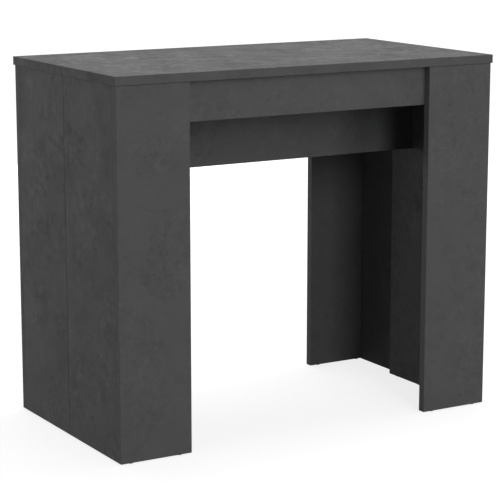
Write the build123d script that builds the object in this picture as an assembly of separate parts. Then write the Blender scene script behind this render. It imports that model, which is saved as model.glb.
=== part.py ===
"""Extendable console dining table.

Two halves, each half a top on two L-shaped legs, close against each other at a seam and slide apart
in depth. A narrow frame nests between the legs and stands under the middle when the table is open.
Two packs of telescopic rails under the top join the three. Millimetres, +Z up, +X along the width,
the front at -Y, and the origin on the floor under the middle of the closed table.
"""
import os

from build123d import *

# Closed table
table_width = 900.0
table_depth = 484.0
table_height = 772.0
seam_gap = 1.0

# Boards
top_thickness = 18.0
board = 18.0
edge_radius = 0.8
top_overhang = 3.0
leg_face_width = 160.0
apron_height = 82.0

# Centre frame
centre_board_depth = 136.0
centre_side_clearance = 2.0
centre_top_clearance = 4.0
beam_height = 164.0
beam_rail_clearance = 4.0

# Telescopic rails: extruded bars side by side, with a T slot in each side and two hollow chambers
rail_width = 13.4
rail_height = 40.0
rail_gap = 0.6
rail_wall = 2.0
rail_top_clearance = 2.0
rail_end_clearance = 2.0
rail_side_distance = 131.0
slot_mouth = 6.0
slot_lip = 1.6
slot_width = 14.0
slot_depth = 3.2
shoe_length = 43.0
shoe_clearance = 0.4

# Floor glides
glide_diameter = 12.0
glide_thickness = 2.0
glide_rim_radius = 0.6
glide_nail_diameter = 2.4
glide_nail_length = 14.0
glide_inset = 25.0

# Dowels and the pegs that line up the two tops
dowel_diameter = 8.0
dowel_in_face = 9.0
dowel_in_edge = 20.0
dowel_inset = 45.0
leg_dowel_inset = 60.0
leg_dowel_count = 4
apron_dowel_inset = 22.0
apron_dowel_spacing = 200.0
beam_dowel_inset = 18.0
peg_reach = 10.0
peg_clearance = 0.4
peg_spacing = 300.0

# Angle brackets, hangers and saddles, all bent from one strip thickness
bracket_leg = 30.0
bracket_width = 20.0
bracket_thickness = 2.0
bracket_bend = 1.0
bracket_tip_radius = 4.0
bracket_hole_near = 10.0
bracket_hole_far = 22.0
apron_bracket_offset = 90.0
beam_bracket_inset = 50.0
hanger_inset = 40.0
saddle_leg = 36.0
saddle_width = 12.0
saddle_hole_near = 14.0
saddle_hole_far = 28.0

# Screws, bolts and nuts
screw_diameter = 3.5
screw_head_diameter = 7.0
screw_length = 12.0
screw_tip_cover = 6.0
apron_screw_inset = 30.0
bolt_diameter = 4.0
bolt_head_diameter = 7.5
bolt_head_height = 2.6
bolt_thread_past = 4.0
bolt_head_rim_radius = 0.8
recess_length = 3.6
recess_width = 0.8
recess_depth = 1.0
nut_height = 3.2
nut_across_flats = 7.0
hole_clearance = 0.1
hole_end_clearance = 1.0

# Levels and planes that the pieces share
underside = table_height - top_thickness
panel_bottom = glide_thickness
apron_bottom = underside - apron_height
leg_outer_x = table_width / 2 - top_overhang
leg_outer_y = table_depth / 2 - top_overhang
side_inner_x = leg_outer_x - board
face_inner_y = leg_outer_y - board
apron_inner_y = face_inner_y - board
seam_y = seam_gap / 2
centre_outer_x = side_inner_x - centre_side_clearance
centre_inner_x = centre_outer_x - board
centre_half_depth = centre_board_depth / 2
rail_top = underside - rail_top_clearance
rail_bottom = rail_top - rail_height
rail_middle = rail_bottom + rail_height / 2
rail_length = 2 * (apron_inner_y - rail_end_clearance)
rail_pitch = rail_width + rail_gap
pack_x = side_inner_x - rail_side_distance
chamber_height = (rail_height - slot_width) / 2 - 2 * rail_wall
chamber_offset = rail_height / 2 - rail_wall - chamber_height / 2
beam_top = rail_bottom - beam_rail_clearance
beam_bottom = beam_top - beam_height
bolt_in_wall = bracket_thickness + rail_wall + bolt_thread_past

# Rail bars in their order across a pack, from the middle of the table outwards
rail_owners = ["back", "back_outer", "back_inner", "centre", "front_inner", "front_outer", "front"]
sides = {"left": -1, "right": 1}
halves = {"front": -1, "back": 1}

solids = {}
cutters = {}


def add(node, solid):
    """Put one more solid into a node."""
    solids.setdefault(node, []).append(solid)


def cut(node, cutter):
    """Take a cutter out of a node when the node is finished."""
    cutters.setdefault(node, []).append(cutter)


def block(x, y, z):
    """A plain box between two corners, each range given in either order."""
    size = [abs(b - a) for a, b in (x, y, z)]
    middle = [(a + b) / 2 for a, b in (x, y, z)]
    return Pos(*middle) * Box(*size)


def panel(node, x, y, z):
    """A board with lightly eased edges."""
    solid = block(x, y, z)
    add(node, fillet(solid.edges(), edge_radius))


def rod(point, direction, diameter, length):
    """A round bar that starts at a point and runs along a direction."""
    bar = Cylinder(diameter / 2, length, align=(Align.CENTER, Align.CENTER, Align.MIN))
    return Plane(origin=point, z_dir=direction) * bar


def shifted(point, direction, distance):
    """The point that lies a distance along a direction."""
    return tuple(p + d * distance for p, d in zip(point, direction))


def opposite(direction):
    """The reverse of a direction."""
    return tuple(-d for d in direction)


def dowel(node, point, direction, face_node, edge_node):
    """A wooden dowel across a joint, from a board's edge into the face of another board."""
    start = shifted(point, direction, -dowel_in_edge)
    hole_diameter = dowel_diameter + 2 * hole_clearance
    add(node, rod(start, direction, dowel_diameter, dowel_in_edge + dowel_in_face))
    cut(face_node, rod(point, direction, hole_diameter, dowel_in_face + hole_end_clearance))
    cut(edge_node, rod(point, opposite(direction), hole_diameter, dowel_in_edge + hole_end_clearance))


def countersunk(point, direction, length, clearance):
    """A countersunk screw with its flat head at a point, or the hole for it when given a clearance."""
    head_height = (screw_head_diameter - screw_diameter) / 2
    head_radius = screw_head_diameter / 2 + clearance
    shank_radius = screw_diameter / 2 + clearance
    low = (Align.CENTER, Align.CENTER, Align.MIN)
    head = Plane(origin=point, z_dir=direction) * Cone(head_radius, shank_radius, head_height, align=low)
    return head + rod(point, direction, 2 * shank_radius, length)


def cross_recess(point, direction):
    """The driver's cross in a screw head, sunk from a point on the head's outer face."""
    sunk = (Align.CENTER, Align.CENTER, Align.MIN)
    slot = Box(recess_length, recess_width, recess_depth, align=sunk)
    return Plane(origin=point, z_dir=direction) * (slot + Rot(0, 0, 90) * slot)


def wood_screw(node, point, direction, length, held_nodes):
    """A countersunk wood screw through the first held node into the next."""
    add(node, countersunk(point, direction, length, 0.0) - cross_recess(point, direction))
    for held in held_nodes:
        cut(held, countersunk(point, direction, length + hole_end_clearance, hole_clearance))


def bolt(node, point, direction, length, held_nodes):
    """A pan-head bolt with its head standing on a point, and its hole in each held node."""
    head_top = shifted(point, direction, -bolt_head_height)
    head = rod(head_top, direction, bolt_head_diameter, bolt_head_height)
    rims = head.edges().filter_by(GeomType.CIRCLE)
    head = fillet(rims.sort_by_distance(head_top)[0], bolt_head_rim_radius)
    head -= cross_recess(head_top, direction)
    add(node, head + rod(point, direction, bolt_diameter, length))
    for held in held_nodes:
        cut(held, rod(point, direction, bolt_diameter + 2 * hole_clearance, length))


def angle(node, corner, along_a, along_b, leg, width):
    """An angle bracket bent from strip: two legs from a corner along two directions, with round tips."""
    across = Vector(*along_a).cross(Vector(*along_b))
    inner = bracket_thickness
    outline = Polyline((0, 0), (leg, 0), (leg, inner), (inner, inner), (inner, leg), (0, leg), close=True)
    section = make_face(outline)
    corners = section.vertices().sort_by_distance((0, 0))
    section = fillet(corners[0], bracket_bend + bracket_thickness)
    bend = section.vertices().sort_by_distance((inner, inner))[0]
    section = fillet(bend, bracket_bend)
    strip = extrude(section, width / 2, both=True)
    tips = strip.edges().filter_by(Axis.Y).group_by(Axis.X)[-1]
    tips += strip.edges().filter_by(Axis.X).group_by(Axis.Y)[-1]
    strip = fillet(tips, bracket_tip_radius)
    add(node, Plane(origin=corner, x_dir=along_a, z_dir=across) * strip)


def bracket_screws(node, bracket_node, corner, run, inward, board_node, holes):
    """Wood screws through one leg of an angle bracket, along the leg's run, into the board behind it."""
    for distance in holes:
        seat = shifted(shifted(corner, run, distance), inward, -bracket_thickness)
        wood_screw(node, seat, inward, screw_length, (bracket_node, board_node))


def glide(node, x, y, panel_node):
    """A low floor glide with a nail that is driven up into a board's lower edge."""
    nail_base = (x, y, glide_thickness)
    up = (0, 0, 1)
    disc = rod((x, y, 0), up, glide_diameter, glide_thickness)
    disc = fillet(disc.edges().group_by(Axis.Z)[0], glide_rim_radius)
    add(node, disc + rod(nail_base, up, glide_nail_diameter, glide_nail_length))
    hole_diameter = glide_nail_diameter + 2 * hole_clearance
    cut(panel_node, rod(nail_base, up, hole_diameter, glide_nail_length + hole_end_clearance))


def bar_x(owner, x_sign):
    """Where the middle of an owner's rail bar lies along X in one pack."""
    place = rail_owners.index(owner) - rail_owners.index("centre")
    return x_sign * (pack_x + place * rail_pitch)


def half_boards(half, y_sign):
    """One half's top, apron and two L-shaped legs."""
    leg_z = (panel_bottom, underside)
    panel(f"{half}_top", (-table_width / 2, table_width / 2),
          (y_sign * seam_y, y_sign * table_depth / 2), (underside, table_height))
    panel(f"{half}_apron", (-side_inner_x, side_inner_x),
          (y_sign * apron_inner_y, y_sign * face_inner_y), (apron_bottom, underside))
    for side, x_sign in sides.items():
        panel(f"{half}_{side}_leg_face", (x_sign * (leg_outer_x - leg_face_width), x_sign * leg_outer_x),
              (y_sign * face_inner_y, y_sign * leg_outer_y), leg_z)
        panel(f"{half}_{side}_leg_side", (x_sign * side_inner_x, x_sign * leg_outer_x),
              (y_sign * seam_y, y_sign * face_inner_y), leg_z)


def half_dowels(half, y_sign):
    """The dowels that join one half's boards."""
    node = f"{half}_dowels"
    top = f"{half}_top"
    apron = f"{half}_apron"
    up = (0, 0, 1)
    outward = (0, y_sign, 0)
    face_y = y_sign * (leg_outer_y - board / 2)
    apron_y = y_sign * (face_inner_y - board / 2)
    lowest = panel_bottom + leg_dowel_inset
    step = (apron_bottom - apron_dowel_inset - lowest) / (leg_dowel_count - 1)
    for side, x_sign in sides.items():
        leg_face = f"{half}_{side}_leg_face"
        leg_side = f"{half}_{side}_leg_side"
        side_x = x_sign * (leg_outer_x - board / 2)
        for i in range(leg_dowel_count):
            dowel(node, (side_x, y_sign * face_inner_y, lowest + i * step), outward, leg_face, leg_side)
        for y in (seam_y + dowel_inset, face_inner_y - dowel_inset):
            dowel(node, (side_x, y_sign * y, underside), up, top, leg_side)
        for x in (leg_outer_x - leg_face_width + dowel_inset, leg_outer_x - dowel_inset):
            dowel(node, (x_sign * x, face_y, underside), up, top, leg_face)
        for z in (apron_bottom + apron_dowel_inset, underside - apron_dowel_inset):
            dowel(node, (x_sign * side_inner_x, apron_y, z), (x_sign, 0, 0), leg_side, apron)
    for i in (-1, 0, 1):
        dowel(node, (i * apron_dowel_spacing, apron_y, underside), up, top, apron)


def half_brackets(half, y_sign):
    """The angle brackets under one half's top, their screws, and the screws from apron to leg face."""
    brackets = f"{half}_brackets"
    screws = f"{half}_screws"
    top = f"{half}_top"
    holes = (bracket_hole_near, bracket_hole_far)
    up = (0, 0, 1)
    down = (0, 0, -1)
    outward = (0, y_sign, 0)
    bracket_y = y_sign * (centre_half_depth + apron_inner_y) / 2
    for side, x_sign in sides.items():
        sideways = (x_sign, 0, 0)
        corner = (x_sign * side_inner_x, bracket_y, underside)
        angle(brackets, corner, opposite(sideways), down, bracket_leg, bracket_width)
        bracket_screws(screws, brackets, corner, opposite(sideways), up, top, holes)
        bracket_screws(screws, brackets, corner, down, sideways, f"{half}_{side}_leg_side", holes)
        corner = (x_sign * apron_bracket_offset, y_sign * apron_inner_y, underside)
        angle(brackets, corner, opposite(outward), down, bracket_leg, bracket_width)
        bracket_screws(screws, brackets, corner, opposite(outward), up, top, holes)
        bracket_screws(screws, brackets, corner, down, outward, f"{half}_apron", holes)
        for x in (leg_outer_x - leg_face_width + apron_screw_inset, side_inner_x - apron_screw_inset):
            seat = (x_sign * x, y_sign * apron_inner_y, underside - apron_height / 2)
            wood_screw(f"{half}_apron_screws", seat, outward, 2 * board - screw_tip_cover,
                       (f"{half}_apron", f"{half}_{side}_leg_face"))


def half_hangers(half, y_sign):
    """The hangers on the free sides of a half's own rail bars, which hold the bars under its top."""
    hangers = f"{half}_hangers"
    for side, x_sign in sides.items():
        free = x_sign if half == rail_owners[-1] else -x_sign
        away = (free, 0, 0)
        face_x = bar_x(half, x_sign) + free * rail_width / 2
        for y in (seam_y + hanger_inset, apron_inner_y - hanger_inset):
            corner = (face_x, y_sign * y, underside)
            angle(hangers, corner, away, (0, 0, -1), bracket_leg, bracket_width)
            bracket_screws(f"{half}_screws", hangers, corner, away, (0, 0, 1), f"{half}_top",
                           (bracket_hole_near, bracket_hole_far))
            seat = (face_x + free * bracket_thickness, y_sign * y, rail_middle + chamber_offset)
            bolt(f"{half}_hanger_bolts", seat, opposite(away), bolt_in_wall,
                 (hangers, f"{half}_{side}_rail"))


def half_glides(half, y_sign):
    """The floor glides under one half's legs."""
    node = f"{half}_glides"
    for side, x_sign in sides.items():
        for x in (leg_outer_x - leg_face_width + glide_inset, leg_outer_x - glide_inset):
            glide(node, x_sign * x, y_sign * (leg_outer_y - board / 2), f"{half}_{side}_leg_face")
        glide(node, x_sign * (leg_outer_x - board / 2), y_sign * (seam_y + glide_inset),
              f"{half}_{side}_leg_side")


def seam_pegs():
    """Pegs in the front top's seam edge, which enter loose holes in the back top."""
    backward = (0, 1, 0)
    peg_z = underside + top_thickness / 2
    for i in (-1, 0, 1):
        root = (i * peg_spacing, -seam_y, peg_z)
        start = shifted(root, backward, -dowel_in_edge)
        add("front_seam_pegs", rod(start, backward, dowel_diameter, dowel_in_edge + seam_gap + peg_reach))
        cut("front_top", rod(root, opposite(backward), dowel_diameter + 2 * hole_clearance,
                             dowel_in_edge + hole_end_clearance))
        cut("back_top", rod(root, backward, dowel_diameter + 2 * peg_clearance,
                            seam_gap + peg_reach + hole_end_clearance))


def centre_frame():
    """The nested frame: two standing boards, the beam between them and their fastenings."""
    up = (0, 0, 1)
    backward = (0, 1, 0)
    panel("centre_beam", (-centre_inner_x, centre_inner_x), (-board / 2, board / 2), (beam_bottom, beam_top))
    holes = (bracket_hole_near, bracket_hole_far)
    for side, x_sign in sides.items():
        standing = f"centre_{side}_board"
        sideways = (x_sign, 0, 0)
        panel(standing, (x_sign * centre_inner_x, x_sign * centre_outer_x),
              (-centre_half_depth, centre_half_depth), (panel_bottom, underside - centre_top_clearance))
        for z in (beam_bottom + beam_dowel_inset, beam_top - beam_dowel_inset):
            dowel("centre_dowels", (x_sign * centre_inner_x, 0, z), sideways, standing, "centre_beam")
        for z in (beam_bottom + beam_bracket_inset, beam_top - beam_bracket_inset):
            corner = (x_sign * centre_inner_x, board / 2, z)
            angle("centre_brackets", corner, opposite(sideways), backward, bracket_leg, bracket_width)
            bracket_screws("centre_screws", "centre_brackets", corner, opposite(sideways),
                           opposite(backward), "centre_beam", holes)
            bracket_screws("centre_screws", "centre_brackets", corner, backward, sideways, standing, holes)
        for y in (-1, 1):
            glide("centre_glides", x_sign * (centre_inner_x + board / 2),
                  y * (centre_half_depth - glide_inset), standing)
            corner = (x_sign * pack_x, y * board / 2, rail_bottom)
            angle("centre_saddles", corner, (0, y, 0), (0, 0, -1), saddle_leg, saddle_width)
            seat = (x_sign * pack_x, y * (board / 2 + bracket_hole_far), rail_bottom - bracket_thickness)
            bolt("centre_rail_bolts", seat, up, bolt_in_wall, ("centre_saddles", f"centre_{side}_rail"))
        for drop in (saddle_hole_near, saddle_hole_far):
            through_bolt(x_sign * pack_x, rail_bottom - drop)


def through_bolt(x, z):
    """A bolt and nut through the beam and the saddles on both of its faces."""
    backward = (0, 1, 0)
    grip = board + 2 * bracket_thickness
    seat = (x, -grip / 2, z)
    bolt("centre_saddle_bolts", seat, backward, grip + nut_height, ("centre_saddles", "centre_beam"))
    outline = RegularPolygon(nut_across_flats / 2, 6, major_radius=False)
    nut = extrude(Plane(origin=(x, grip / 2, z), z_dir=backward) * outline, nut_height)
    bore = rod((x, grip / 2, z), backward, bolt_diameter + 2 * hole_clearance, nut_height)
    add("centre_saddle_nuts", nut - bore)


def rail_profile():
    """Cross-section of a rail bar, centred on its own middle."""
    section = Rectangle(rail_width, rail_height)
    for sign in (-1, 1):
        mouth_x = sign * (rail_width - slot_lip) / 2
        channel_x = sign * (rail_width / 2 - slot_lip - slot_depth / 2)
        section -= Pos(mouth_x, 0) * Rectangle(slot_lip, slot_mouth)
        section -= Pos(channel_x, 0) * Rectangle(slot_depth, slot_width)
        section -= Pos(0, sign * chamber_offset) * Rectangle(rail_width - 2 * rail_wall, chamber_height)
    return section


def rail_bars():
    """The rail bars of both packs, each running the whole way between the aprons."""
    bar = extrude(Plane.XZ * rail_profile(), rail_length / 2, both=True)
    for side, x_sign in sides.items():
        for owner in rail_owners:
            add(f"{owner}_{side}_rail", Pos(bar_x(owner, x_sign), 0, rail_middle) * bar)


def shoe(outward):
    """A moulded shoe about the gap between two bars: tight in its carrier's slot, loose in the other.

    The carrier is on the negative X side, or on the positive side when outward is -1.
    """
    neck_reach = rail_gap / 2 + slot_lip
    neck_height = slot_mouth - 2 * shoe_clearance
    loose_depth = slot_depth - 2 * shoe_clearance
    loose_height = slot_width - 2 * shoe_clearance
    tight_x = -outward * (neck_reach + slot_depth / 2)
    loose_x = outward * (neck_reach + slot_depth / 2)
    section = Pos(tight_x, 0) * Rectangle(slot_depth, slot_width)
    section += Pos(loose_x, 0) * Rectangle(loose_depth, loose_height)
    section += Pos(outward * shoe_clearance / 2, 0) * Rectangle(2 * neck_reach + shoe_clearance, neck_height)
    return extrude(Plane.XZ * section, shoe_length / 2, both=True)


def rail_shoes():
    """A shoe at the front end of each bar for the next bar outwards, and one at the next bar's back end.

    The two meet when that stage is fully out, so a stage travels the bar's length less two shoes.
    """
    end_y = (rail_length - shoe_length) / 2
    for x_sign in sides.values():
        for owner, next_owner in zip(rail_owners, rail_owners[1:]):
            x = (bar_x(owner, x_sign) + bar_x(next_owner, x_sign)) / 2
            add(f"{owner}_rail_shoes", Pos(x, -end_y, rail_middle) * shoe(x_sign))
            add(f"{next_owner}_rail_shoes", Pos(x, end_y, rail_middle) * shoe(-x_sign))


rail_bars()
rail_shoes()
centre_frame()
for name, sign in halves.items():
    half_boards(name, sign)
    half_dowels(name, sign)
    half_brackets(name, sign)
    half_hangers(name, sign)
    half_glides(name, sign)
seam_pegs()

os.makedirs("parts", exist_ok=True)
for node, pieces in solids.items():
    finished = []
    for piece in pieces:
        for cutter in cutters.get(node, []):
            if piece.bounding_box().overlaps(cutter.bounding_box()):
                piece = piece - cutter
        finished += piece.solids()
    export_step(Compound(children=finished), f"parts/{node}.step")
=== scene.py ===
"""Looks of the extendable console dining table: finishes of its boards, rails and fittings, studio and camera."""
import math

import bpy
import numpy as np
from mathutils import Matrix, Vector


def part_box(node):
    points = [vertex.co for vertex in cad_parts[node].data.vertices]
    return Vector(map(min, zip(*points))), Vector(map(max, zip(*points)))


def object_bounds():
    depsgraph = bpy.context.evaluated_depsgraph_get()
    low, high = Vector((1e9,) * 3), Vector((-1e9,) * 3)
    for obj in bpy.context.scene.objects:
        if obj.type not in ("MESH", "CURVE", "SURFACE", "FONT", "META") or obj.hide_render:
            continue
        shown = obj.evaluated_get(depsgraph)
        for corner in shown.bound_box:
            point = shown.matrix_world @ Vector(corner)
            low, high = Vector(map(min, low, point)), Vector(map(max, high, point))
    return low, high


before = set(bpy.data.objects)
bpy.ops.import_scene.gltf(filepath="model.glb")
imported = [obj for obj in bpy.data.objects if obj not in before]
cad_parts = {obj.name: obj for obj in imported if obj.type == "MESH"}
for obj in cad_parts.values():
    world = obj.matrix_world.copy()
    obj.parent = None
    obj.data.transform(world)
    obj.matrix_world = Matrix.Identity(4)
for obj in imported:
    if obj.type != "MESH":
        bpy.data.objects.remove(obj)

cad_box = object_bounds()
mm = 0.001
# Numbers of the axes from front to back and from the floor up.
backward, upward = 1, 2
table_middle = (cad_box[0] + cad_box[1]) / 2

# How much more the light parts of the decor shine than the dark ones.
top_polish = 1.85
upright_polish = 0.8
# How much a painted shadow darkens a leg's upper edge, where the top overhangs it.
leg_painted_shadow = 0.40
# How far the decor moves on from one board to the next, so that no two boards show the same part of it.
decor_step = (3.7, 2.3, 1.9)

# Linear colours between which each finish varies.
slate_colours = ((0.048, 0.048, 0.048, 1), (0.125, 0.125, 0.125, 1))
aluminium_colours = ((0.34, 0.345, 0.355, 1), (0.56, 0.565, 0.58, 1))
zinc_bloom_colours = ((0.56, 0.58, 0.63, 1), (0.66, 0.64, 0.58, 1))
zinc_dull_colour = (0.42, 0.43, 0.45, 1)
nylon_colours = ((0.70, 0.70, 0.67, 1), (0.52, 0.52, 0.49, 1))
glide_colours = ((0.022, 0.022, 0.022, 1), (0.11, 0.11, 0.11, 1))
beech_colours = ((0.70, 0.52, 0.34, 1), (0.44, 0.28, 0.16, 1))
paper_colours = ((0.29, 0.29, 0.29, 1), (0.31, 0.31, 0.31, 1))
paper_colour_for_light = (0.06, 0.06, 0.06, 1)
white = (1, 1, 1, 1)

floor_half_width = 20.0
floor_cells = 8
# The floor's own glow near the table, where it begins to rise, and where it is full white.
floor_near_glow = 0.80
floor_near_reach = 0.8
floor_white_reach = 2.6
surround_strength = 0.20
softboxes = {
    "overhead_softbox": {"place": (0.4, 0.6, 3.2), "width": 2.2, "height": 2.0, "power": 67.0},
    "tall_front_softbox": {"place": (-0.62, -3.95, 1.75), "width": 0.9, "height": 2.4, "power": 66.0},
    "right_front_softbox": {"place": (1.3, -3.9, 1.0), "width": 1.4, "height": 1.4, "power": 34.0},
    "left_softbox": {"place": (-4.0, -0.4, 1.2), "width": 2.2, "height": 2.2, "power": 24.0},
    "back_left_softbox": {"place": (-2.6, 3.8, 0.40), "width": 1.8, "height": 0.7, "power": 26.0},
    "right_softbox": {"place": (4.2, -0.3, 1.0), "width": 2.2, "height": 2.2, "power": 80.0},
    "low_back_softbox": {"place": (0.6, 3.6, 0.40), "width": 2.4, "height": 0.7, "power": 50.0},
}
camera_place = (-2.0271, -3.4268, 1.1426)
camera_bearing = 30.48
camera_dip = 11.26
camera_lens = 134.67
camera_sensor_width = 36.0


class Finish:
    """A finish built up step by step: each call adds one node or a few and gives back the output that is wanted."""

    # Width of a noise blotch at scale 1, and the numbers of a mix node's two colour inputs and its colour output.
    blotch = 0.6
    first_colour, second_colour, mixed_colour = 6, 7, 2

    def __init__(self, name):
        self.material = bpy.data.materials.new(name)
        self.material.use_nodes = True
        self.tree = self.material.node_tree
        self.tree.nodes.clear()
        self.place = self.step("ShaderNodeTexCoord", {}, "Object")

    def step(self, kind, sockets, output=0, **settings):
        """One node with its settings, and each of its sockets linked to an earlier output or set to a value."""
        made = self.tree.nodes.new(kind)
        for key, value in settings.items():
            setattr(made, key, value)
        for key, value in sockets.items():
            if isinstance(value, bpy.types.NodeSocket):
                self.tree.links.new(value, made.inputs[key])
            else:
                made.inputs[key].default_value = value
        return made.outputs[output]

    def work(self, operation, *values):
        """Arithmetic on plain values."""
        return self.step("ShaderNodeMath", dict(enumerate(values)), operation=operation)

    def total(self, start, *weighted):
        """A starting value plus each (value, weight) pair multiplied out."""
        for value, weight in weighted:
            start = self.work("MULTIPLY_ADD", value, weight, start)
        return start

    def spread(self, operation, *places):
        """Arithmetic on places."""
        return self.step("ShaderNodeVectorMath", dict(enumerate(places)), operation=operation)

    def parts(self, place):
        """The three coordinates of a place."""
        made = self.step("ShaderNodeSeparateXYZ", {"Vector": place}).node
        return list(made.outputs)

    def laid(self, place, shift=(0, 0, 0), turn=(0, 0, 0), stretch=(1, 1, 1)):
        """A place after a stretch, a turn and a shift, so that a pattern lies in its own way."""
        return self.step("ShaderNodeMapping", {"Vector": place, "Location": shift, "Rotation": turn,
                                               "Scale": stretch})

    def cloud(self, place, size, detail=2.0, rough=0.5, swirl=0.0):
        """Soft noise from 0 to 1 with blotches of about the given size in metres."""
        return self.step("ShaderNodeTexNoise", {"Vector": place, "Scale": self.blotch / size, "Detail": detail,
                                                "Roughness": rough, "Distortion": swirl})

    def cells(self, place, size, output="Distance"):
        """Cells of about the given size in metres: the distance to each one's middle, or its own colour."""
        return self.step("ShaderNodeTexVoronoi", {"Vector": place, "Scale": 1 / size}, output)

    def ramp(self, value, low, high, start=0.0, end=1.0):
        """A smooth ramp from start to end while the value goes from low to high."""
        return self.step("ShaderNodeMapRange", {"Value": value, "From Min": low, "From Max": high,
                                                "To Min": start, "To Max": end},
                         interpolation_type="SMOOTHSTEP")

    def fall(self, value, low, high):
        """A smooth fall from 1 to 0 while the value goes from low to high."""
        return self.ramp(value, low, high, start=1.0, end=0.0)

    def line(self, value, level, core, rim):
        """A soft line where the value is at a level: 1 within the core on both sides of it, and 0 from the rim on."""
        return self.fall(self.work("ABSOLUTE", self.work("SUBTRACT", value, level)), core, rim)

    def shade(self, share, first, second):
        """A colour that goes from the first to the second with the share."""
        sockets = {"Factor": share, self.first_colour: first, self.second_colour: second}
        return self.step("ShaderNodeMix", sockets, self.mixed_colour, data_type="RGBA")

    def relief(self, height, depth):
        """Normals of a fine relief of the given depth in metres."""
        return self.step("ShaderNodeBump", {"Height": height, "Strength": 1.0, "Distance": depth})

    def show(self, shader):
        """The finished material, with a shader as its surface."""
        self.tree.links.new(shader, self.tree.nodes.new("ShaderNodeOutputMaterial").inputs["Surface"])
        return self.material

    def surface(self, sockets):
        """The finished material from the sockets of its shader."""
        return self.show(self.step("ShaderNodeBsdfPrincipled", sockets))


def face_distances(finish, node):
    """How deep a place lies under each pair of a board's faces: half the size less the distance to its middle."""
    low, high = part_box(node)
    from_middle = finish.spread("SUBTRACT", finish.place, (low + high) / 2)
    depth = finish.spread("SUBTRACT", (high - low) / 2, finish.spread("ABSOLUTE", from_middle))
    return finish.parts(depth)


def edge_distance(finish, depths):
    """The middle one of three depths: on a board's surface one depth is nil, and the next is the way to an edge."""
    a, b, c = depths
    lesser = finish.work("MINIMUM", a, b)
    greater = finish.work("MAXIMUM", a, b)
    return finish.work("MAXIMUM", lesser, finish.work("MINIMUM", greater, c))


def slate_decor(node, number, polish, painted_shadow_strength):
    """Matt slate-grey decor of one board, on a sheet laid along its length and width.

    The tone sums clouds, crumbs in busy places, stains, trowel strokes both ways, light and dark curved marks, specks
    and grain. The banded edges are calmer, the corners are rubbed, and a painted shadow may darken the upper edge
    under the top.
    """
    finish = Finish(f"slate_decor_{node}")
    low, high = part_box(node)
    thin, middle, long = np.argsort(np.array(high - low))
    axes = finish.parts(finish.place)
    sheet = finish.step("ShaderNodeCombineXYZ", {"X": axes[long], "Y": axes[middle], "Z": axes[thin]})
    sheet = finish.laid(sheet, shift=[number * step for step in decor_step])

    clouds = finish.cloud(sheet, 75 * mm, detail=2.6, rough=0.9, swirl=0.2)
    busy = finish.cloud(sheet, 60 * mm, rough=0.6, swirl=0.4)
    busy = finish.ramp(busy, 0.44, 0.60, start=0.25)
    crumbs = finish.cloud(sheet, 11 * mm, detail=2.6, rough=0.9)
    crumbs = finish.work("MULTIPLY", finish.work("SUBTRACT", crumbs, 0.5), busy)
    stains = finish.cloud(sheet, 50 * mm, detail=6.0, rough=0.65, swirl=0.2)
    stains = finish.ramp(stains, 0.55, 0.58)
    across = finish.laid(finish.laid(sheet, turn=(0, 0, 0.6)), stretch=(1, 2.6, 1))
    strokes = finish.cloud(across, 70 * mm, detail=4.0, rough=0.7, swirl=0.6)
    against = finish.laid(finish.laid(sheet, turn=(0, 0, -0.7)), stretch=(1, 3.2, 1))
    crossing = finish.cloud(against, 60 * mm, detail=4.0, rough=0.7, swirl=0.6)
    grain = finish.cloud(sheet, 1.4 * mm, detail=3.0, rough=0.7)
    sweep = finish.cloud(sheet, 90 * mm, detail=1.0, rough=0.4, swirl=0.5)
    where = finish.cloud(sheet, 70 * mm, detail=1.0)
    light_line = finish.line(sweep, 0.54, core=0.002, rim=0.010)
    light_marks = finish.work("MULTIPLY", light_line, finish.ramp(where, 0.57, 0.64))
    dark_line = finish.line(sweep, 0.46, core=0.003, rim=0.012)
    dark_marks = finish.work("MULTIPLY", dark_line, finish.ramp(where, 0.45, 0.38))
    specks = finish.fall(finish.cells(sheet, 13 * mm), 0.16, 0.30)
    specks = finish.work("MULTIPLY", specks, finish.ramp(finish.cloud(sheet, 100 * mm), 0.54, 0.62))
    mean_tone = 0.186
    tone = finish.total(-mean_tone, (clouds, 0.27), (crumbs, 0.56), (stains, -0.04), (strokes, 0.04),
                        (crossing, 0.04), (light_marks, 0.075), (dark_marks, -0.075), (specks, -0.06), (grain, 0.05))
    tone = finish.total(tone, (finish.work("MULTIPLY", tone, tone), -0.6))

    depths = face_distances(finish, node)
    to_edge = edge_distance(finish, depths)
    on_band = finish.ramp(depths[thin], 0.3 * mm, 0.8 * mm)
    tone = finish.work("MULTIPLY", tone, finish.total(1.0, (on_band, -0.4)))
    rubbed = finish.ramp(finish.cloud(sheet, 30 * mm, detail=3.0, rough=0.6), 0.4, 0.7)
    wear = finish.work("MULTIPLY", finish.fall(to_edge, 0.3 * mm, 1.3 * mm), rubbed)
    # Painted shadow: the top 1-2 mm of the board is darkened, standing in for the shade under the overhanging top.
    painted_joint_shadow = finish.ramp(axes[upward], high.z - 2.1 * mm, high.z - 0.9 * mm)
    streaks = finish.cloud(finish.laid(sheet, stretch=(1, 90, 90)), 120 * mm, detail=3.0, rough=0.6)
    band = finish.work("MULTIPLY", on_band, finish.work("SUBTRACT", streaks, 0.75))

    share = finish.total(0.43, (tone, 1.0), (band, 0.12), (wear, 0.20), (painted_joint_shadow, -painted_shadow_strength))
    roughness = finish.total(0.72, (tone, -polish), (wear, -0.10))
    height = finish.total(0.0, (grain, 0.6), (strokes, 0.25), (light_marks, -0.4))
    return finish.surface({"Base Color": finish.shade(share, *slate_colours), "Roughness": roughness,
                           "Specular IOR Level": 0.12, "Normal": finish.relief(height, 0.06 * mm)})


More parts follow.
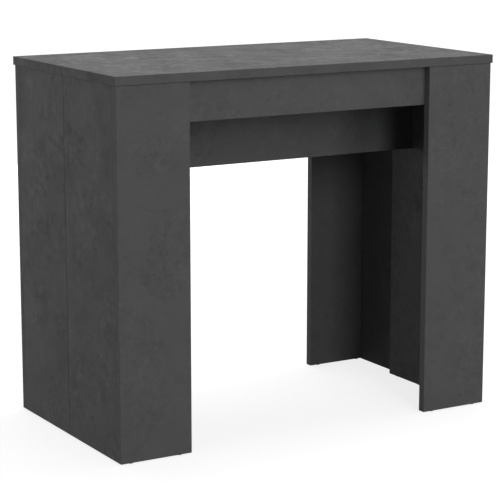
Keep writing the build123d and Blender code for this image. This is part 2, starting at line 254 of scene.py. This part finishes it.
def extruded_aluminium(node):
    """Satin aluminium bar: die lines along its length, faint handling marks, and saw marks across its cut ends."""
    finish = Finish(f"extruded_aluminium_{node}")
    die_lines = finish.cloud(finish.laid(finish.place, stretch=(1, 0.004, 1)), 0.9 * mm, detail=3.0, rough=0.65)
    bloom = finish.cloud(finish.place, 70 * mm, detail=3.0, rough=0.6, swirl=0.6)
    rubs = finish.ramp(finish.cloud(finish.laid(finish.place, stretch=(1, 0.05, 1)), 5 * mm), 0.58, 0.72)
    ends = finish.fall(face_distances(finish, node)[backward], 0.1 * mm, 0.3 * mm)
    saw = finish.cloud(finish.laid(finish.place, turn=(0, 0.35, 0), stretch=(1, 1, 14)), 6 * mm)
    sawn = finish.work("MULTIPLY", ends, saw)
    share = finish.total(0.1, (die_lines, 0.4), (bloom, 0.35), (rubs, 0.15), (sawn, 0.3))
    colour = finish.shade(share, *aluminium_colours)
    roughness = finish.total(0.28, (die_lines, 0.12), (bloom, 0.10), (ends, 0.14), (rubs, -0.05))
    height = finish.total(0.0, (die_lines, 0.6), (sawn, 1.0))
    return finish.surface({"Base Color": colour, "Metallic": 1.0, "Roughness": roughness,
                           "Normal": finish.relief(height, 0.03 * mm)})


def zinc_steel():
    """Bright zinc on pressed steel: small spangles, a faint blue and straw bloom, rubbed spots."""
    finish = Finish("bright_zinc_steel")
    spangle = finish.parts(finish.cells(finish.place, 2.4 * mm, output="Color"))[0]
    bloom = finish.ramp(finish.cloud(finish.place, 9 * mm, swirl=0.8), 0.35, 0.65)
    rolled = finish.cloud(finish.laid(finish.place, stretch=(1, 1, 0.08)), 0.5 * mm)
    spots = finish.ramp(finish.cloud(finish.place, 3 * mm, detail=3.0, rough=0.6), 0.60, 0.74)
    tone = finish.shade(bloom, *zinc_bloom_colours)
    share = finish.total(0.0, (spangle, 0.35), (spots, 0.45), (rolled, 0.2))
    colour = finish.shade(share, tone, zinc_dull_colour)
    roughness = finish.total(0.22, (spangle, 0.10), (spots, 0.16), (rolled, 0.06))
    height = finish.total(0.0, (spangle, 0.3), (rolled, 0.5), (spots, -0.4))
    return finish.surface({"Base Color": colour, "Metallic": 1.0, "Roughness": roughness,
                           "Normal": finish.relief(height, 0.02 * mm)})


def moulded_nylon():
    """Natural nylon: milky flow marks, fine mould grain and greyed rubbing marks along the slide."""
    finish = Finish("natural_nylon")
    flow = finish.laid(finish.place, stretch=(1, 0.25, 1))
    flow = finish.cloud(flow, 5 * mm, detail=3.0, rough=0.55, swirl=1.2)
    grain = finish.cloud(finish.place, 0.5 * mm)
    rubs = finish.ramp(finish.cloud(finish.laid(finish.place, stretch=(1, 0.03, 1)), 1.1 * mm), 0.58, 0.70)
    share = finish.total(0.0, (flow, 0.6), (grain, 0.2), (rubs, 0.35))
    colour = finish.shade(share, *nylon_colours)
    roughness = finish.total(0.38, (flow, 0.08), (grain, 0.10), (rubs, -0.08))
    height = finish.total(0.0, (grain, 0.7), (flow, 0.3))
    return finish.surface({"Base Color": colour, "Roughness": roughness, "Normal": finish.relief(height, 0.03 * mm)})


def glide_plastic():
    """Black moulded glide: fine spark texture, and pale scuffs where it meets the floor."""
    finish = Finish("black_glide_plastic")
    spark = finish.cells(finish.place, 0.45 * mm)
    cast = finish.cloud(finish.place, 4 * mm, detail=3.0, rough=0.6)
    sole = finish.fall(finish.parts(finish.place)[upward], 0.15 * mm, 0.9 * mm)
    scuffs = finish.laid(finish.place, turn=(0, 0, 0.6), stretch=(1, 0.15, 1))
    scuffs = finish.ramp(finish.cloud(scuffs, 1.0 * mm, detail=3.0), 0.50, 0.66)
    scuffs = finish.work("MULTIPLY", scuffs, sole)
    share = finish.total(0.0, (cast, 0.35), (spark, 0.15), (scuffs, 0.5))
    colour = finish.shade(share, *glide_colours)
    roughness = finish.total(0.40, (cast, 0.12), (spark, 0.10), (scuffs, 0.2))
    height = finish.total(0.0, (spark, 0.8), (cast, 0.2))
    return finish.surface({"Base Color": colour, "Roughness": roughness, "Normal": finish.relief(height, 0.04 * mm)})


def turned_beech(name, along):
    """Plain turned beech with its grain along one axis: pale bands, short dark flecks and fine pores."""
    finish = Finish(name)
    long_stretch = [1.0, 1.0, 1.0]
    long_stretch[along] = 0.06
    short_stretch = [1.0, 1.0, 1.0]
    short_stretch[along] = 0.22
    grain = finish.cloud(finish.laid(finish.place, stretch=long_stretch), 0.7 * mm, detail=3.0, rough=0.6)
    bands = finish.cloud(finish.laid(finish.place, stretch=long_stretch), 3.5 * mm, swirl=0.8)
    flecks = finish.fall(finish.cells(finish.laid(finish.place, stretch=short_stretch), 1.3 * mm), 0.10, 0.26)
    share = finish.total(0.0, (bands, 0.5), (grain, 0.35), (flecks, 0.35))
    colour = finish.shade(share, *beech_colours)
    roughness = finish.total(0.52, (grain, 0.15), (flecks, 0.08))
    height = finish.total(0.0, (grain, 0.7), (flecks, -0.5))
    return finish.surface({"Base Color": colour, "Roughness": roughness, "Normal": finish.relief(height, 0.06 * mm)})


def dress(node, finish):
    """Puts a finish on a CAD node."""
    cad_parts[node].material_slots[0].material = finish


def seen(tree):
    """One for rays that show a surface to the camera, straight, mirrored or through glass, and nil for light."""
    rays = tree.nodes.new("ShaderNodeLightPath").outputs
    share = rays["Is Camera Ray"]
    for other in (rays["Is Glossy Ray"], rays["Is Transmission Ray"]):
        larger = tree.nodes.new("ShaderNodeMath")
        larger.operation = "MAXIMUM"
        tree.links.new(share, larger.inputs[0])
        tree.links.new(other, larger.inputs[1])
        share = larger.outputs[0]
    return share


def studio_floor(half_width, cells):
    """A level sheet at floor height: a square grid whose two parameters run evenly along X and Y."""
    u, v = np.meshgrid(np.linspace(-1, 1, cells + 1), np.linspace(-1, 1, cells + 1))
    points = np.stack([half_width * u, half_width * v, np.zeros_like(u)], axis=-1).reshape(-1, 3)
    corner = (np.arange(cells)[:, None] * (cells + 1) + np.arange(cells)).ravel()
    faces = np.stack([corner, corner + 1, corner + cells + 2, corner + cells + 1], axis=-1)
    mesh = bpy.data.meshes.new("studio_floor")
    mesh.from_pydata(points.tolist(), [], faces.tolist())
    floor = bpy.data.objects.new("studio_floor", mesh)
    bpy.context.scene.collection.objects.link(floor)
    mesh.materials.append(floor_finish())


def floor_finish():
    """Pale paper that keeps the table's shadow, gives back little light, and reads white further out."""
    finish = Finish("studio_paper")
    fibres = finish.cloud(finish.place, 4 * mm, detail=3.0, rough=0.6)
    paper = finish.shade(fibres, *paper_colours)
    shown = seen(finish.tree)
    matt = finish.step("ShaderNodeBsdfDiffuse", {"Color": finish.shade(shown, paper_colour_for_light, paper)})
    away = finish.step("ShaderNodeVectorMath", {0: finish.place}, "Value", operation="LENGTH")
    rise = finish.ramp(away, floor_near_reach, floor_white_reach, start=floor_near_glow)
    glow = finish.step("ShaderNodeEmission", {"Color": white, "Strength": finish.work("MULTIPLY", shown, rise)})
    return finish.show(finish.step("ShaderNodeAddShader", {0: matt, 1: glow}))


def studio_world(ambient):
    """An even grey surround for the light, which is white where it is seen."""
    world = bpy.data.worlds.new("studio_surround")
    bpy.context.scene.world = world
    world.use_nodes = True
    tree = world.node_tree
    tree.nodes.clear()
    mix = tree.nodes.new("ShaderNodeMixShader")
    tree.links.new(seen(tree), mix.inputs[0])
    for socket, strength in ((1, ambient), (2, 1.0)):
        light = tree.nodes.new("ShaderNodeBackground")
        light.inputs["Color"].default_value = white
        light.inputs["Strength"].default_value = strength
        tree.links.new(light.outputs[0], mix.inputs[socket])
    tree.links.new(mix.outputs[0], tree.nodes.new("ShaderNodeOutputWorld").inputs["Surface"])


def softbox(name, place, width, height, power):
    """A flat soft lamp at a place, turned towards the middle of the table and not seen itself."""
    lamp = bpy.data.lights.new(name, "AREA")
    lamp.shape = "RECTANGLE"
    lamp.size = width
    lamp.size_y = height
    lamp.energy = power
    holder = bpy.data.objects.new(name, lamp)
    holder.location = place
    holder.rotation_euler = (table_middle - Vector(place)).to_track_quat("-Z", "Y").to_euler()
    holder.visible_camera = False
    bpy.context.scene.collection.objects.link(holder)


def photo_camera(place, bearing, dip, lens):
    """A camera at a place: its bearing in degrees from the back towards the right, and its dip below the horizon."""
    camera = bpy.data.cameras.new("photo_camera")
    camera.sensor_width = camera_sensor_width
    camera.lens = lens
    holder = bpy.data.objects.new("photo_camera", camera)
    a = math.radians(bearing)
    d = math.radians(dip)
    ahead = Vector((math.sin(a) * math.cos(d), math.cos(a) * math.cos(d), -math.sin(d)))
    holder.location = place
    holder.rotation_euler = ahead.to_track_quat("-Z", "Y").to_euler()
    bpy.context.scene.collection.objects.link(holder)
    bpy.context.scene.camera = holder


nodes = sorted(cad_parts)
board_ends = ("_top", "_apron", "_leg_face", "_leg_side", "_beam", "_board")
boards = [node for node in nodes if node.endswith(board_ends)]
for number, node in enumerate(boards):
    polish = top_polish if node.endswith("_top") else upright_polish
    # Only the legs get the painted shadow under the top.
    painted_shadow_strength = leg_painted_shadow if "_leg_" in node else 0.0
    dress(node, slate_decor(node, number, polish, painted_shadow_strength))
for node in nodes:
    if node.endswith("_rail"):
        dress(node, extruded_aluminium(node))

fitting_finishes = {
    ("_screws", "_bolts", "_nuts", "_brackets", "_hangers", "_saddles"): zinc_steel(),
    ("_rail_shoes",): moulded_nylon(),
    ("_glides",): glide_plastic(),
    ("_dowels",): turned_beech("turned_beech_standing", upward),
    ("_pegs",): turned_beech("turned_beech_lying", backward),
}
for ends, finish in fitting_finishes.items():
    for node in nodes:
        if node.endswith(ends):
            dress(node, finish)

studio_floor(floor_half_width, floor_cells)
studio_world(surround_strength)
for name, lamp in softboxes.items():
    softbox(name, **lamp)
photo_camera(camera_place, camera_bearing, camera_dip, camera_lens)
bpy.context.scene.view_settings.view_transform = "Standard"
